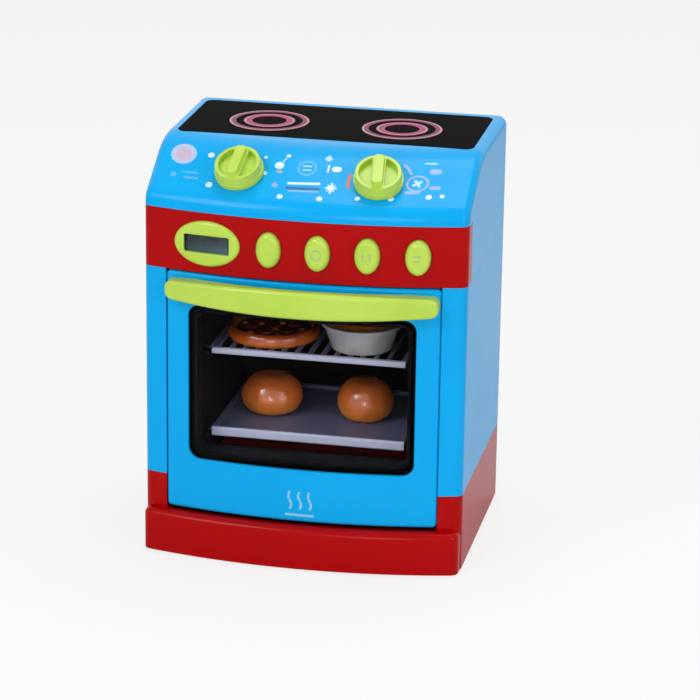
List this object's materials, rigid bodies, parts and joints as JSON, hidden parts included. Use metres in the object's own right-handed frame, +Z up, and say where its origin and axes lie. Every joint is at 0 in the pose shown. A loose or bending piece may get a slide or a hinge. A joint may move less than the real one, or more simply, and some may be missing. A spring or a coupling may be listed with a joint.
{
  "type": "toy oven",
  "caption": "Toy oven with a drop-down window door, racks with play food, turning knobs, press buttons, clock window and a hob on top.",
  "frame": {"origin": "centre of the overall box at table level, under the feet", "axes": "+Z up, -Y towards the front of the oven, +X to the right as seen from the front"},
  "size_m": [0.206, 0.169, 0.2674],
  "materials": {
    "blue_plastic": "glossy moulded plastic",
    "red_plastic": "glossy moulded plastic",
    "lime_plastic": "glossy moulded plastic",
    "black_plastic": "satin moulded plastic",
    "oven_black": "satin moulded plastic",
    "hob_black": "polished plastic sheet",
    "pink_plastic": "glossy plastic",
    "white_plastic": "natural moulded plastic",
    "clear_plastic": "clear plastic",
    "window_clear": "clear plastic pane",
    "display_glass": "liquid crystal display",
    "board_green": "laminate with solder mask",
    "pad_rubber": "silicone",
    "foot_rubber": "matte rubber",
    "cell_jacket": "printed steel jacket",
    "bright_steel": "plated steel",
    "screw_steel": "zinc plated",
    "cone_paper": "pressed paper",
    "lamp_amber": "tinted resin",
    "lead_red": "soft insulation",
    "lead_black": "soft insulation",
    "rack_grey": "painted plastic",
    "tray_grey": "dark moulded plastic",
    "crust_plastic": "glossy painted plastic",
    "dish_white": "glossy moulded plastic",
    "pie_plastic": "glossy painted plastic",
    "bread_plastic": "glossy painted plastic"
  },
  "bodies": {
    "oven": {"base_plate": "black_plastic", "base_screws": "screw_steel", "batteries": "cell_jacket", "battery_box": "black_plastic", "battery_contacts": "bright_steel", "battery_door": "black_plastic", "battery_leads": "lead_red", "board_screws": "screw_steel", "button_pad": "pad_rubber", "cabinet_shell": "blue_plastic", "cavity_liner": "oven_black", "circuit_board": "board_green", "clock_bezel": "lime_plastic", "clock_display": "display_glass", "clock_lens": "clear_plastic", "fascia_band": "red_plastic", "feet": "foot_rubber", "hob_sheet": "hob_black", "knob_clickers": "bright_steel", "lamp_leads": "lead_red", "left_burner_rings": "pink_plastic", "oven_lamp": "lamp_amber", "plinth": "red_plastic", "rear_cover": "blue_plastic", "rear_cover_screws": "screw_steel", "right_burner_rings": "pink_plastic", "speaker": "bright_steel", "speaker_cone": "cone_paper", "speaker_leads": "lead_black", "top_housing": "blue_plastic"},
    "door": {"door_shell": "blue_plastic", "door_inner_frame": "black_plastic", "door_window": "window_clear", "door_handle": "lime_plastic", "hinge_pins": "bright_steel", "door_screws": "screw_steel", "handle_screws": "screw_steel"},
    "left_knob": {"left_knob": "lime_plastic", "left_knob_ratchet": "white_plastic", "left_knob_screw": "screw_steel"},
    "right_knob": {"right_knob": "lime_plastic", "right_knob_ratchet": "white_plastic", "right_knob_screw": "screw_steel"},
    "upper_rack": {"upper_rack": "rack_grey", "pizza": "crust_plastic", "pie_dish": "dish_white", "pie": "pie_plastic"},
    "lower_tray": {"lower_tray": "tray_grey", "left_roll": "bread_plastic", "right_roll": "bread_plastic"},
    "button_1": {"button_1": "lime_plastic"},
    "button_2": {"button_2": "lime_plastic"},
    "button_3": {"button_3": "lime_plastic"},
    "button_4": {"button_4": "lime_plastic"}
  },
  "joints": [
    {"name": "door_hinge", "type": "hinge", "parent": "oven", "child": "door", "pos_m": [0, -0.055, 0.0452], "axis": [1, 0, 0], "range_deg": [0, 90]},
    {"name": "left_knob_turn", "type": "hinge", "parent": "oven", "child": "left_knob", "pos_m": [-0.044, -0.04618, 0.25024], "axis": [-0.0617, -0.5263, 0.848], "continuous": true},
    {"name": "right_knob_turn", "type": "hinge", "parent": "oven", "child": "right_knob", "pos_m": [0.044, -0.04618, 0.25024], "axis": [0.0617, -0.5263, 0.848], "continuous": true},
    {"name": "button_1_press", "type": "slide", "parent": "oven", "child": "button_1", "axis": [0, 1, 0], "range_m": [0, 0.0015], "stiffness_N_per_m": 300},
    {"name": "button_2_press", "type": "slide", "parent": "oven", "child": "button_2", "axis": [0, 1, 0], "range_m": [0, 0.0015], "stiffness_N_per_m": 300},
    {"name": "button_3_press", "type": "slide", "parent": "oven", "child": "button_3", "axis": [0, 1, 0], "range_m": [0, 0.0015], "stiffness_N_per_m": 300},
    {"name": "button_4_press", "type": "slide", "parent": "oven", "child": "button_4", "axis": [0, 1, 0], "range_m": [0, 0.0015], "stiffness_N_per_m": 300},
    {"name": "upper_rack_slide", "type": "slide", "parent": "oven", "child": "upper_rack", "axis": [0, -1, 0], "range_m": [0, 0.011]},
    {"name": "lower_tray_slide", "type": "slide", "parent": "oven", "child": "lower_tray", "axis": [0, -1, 0], "range_m": [0, 0.011]}
  ]
}
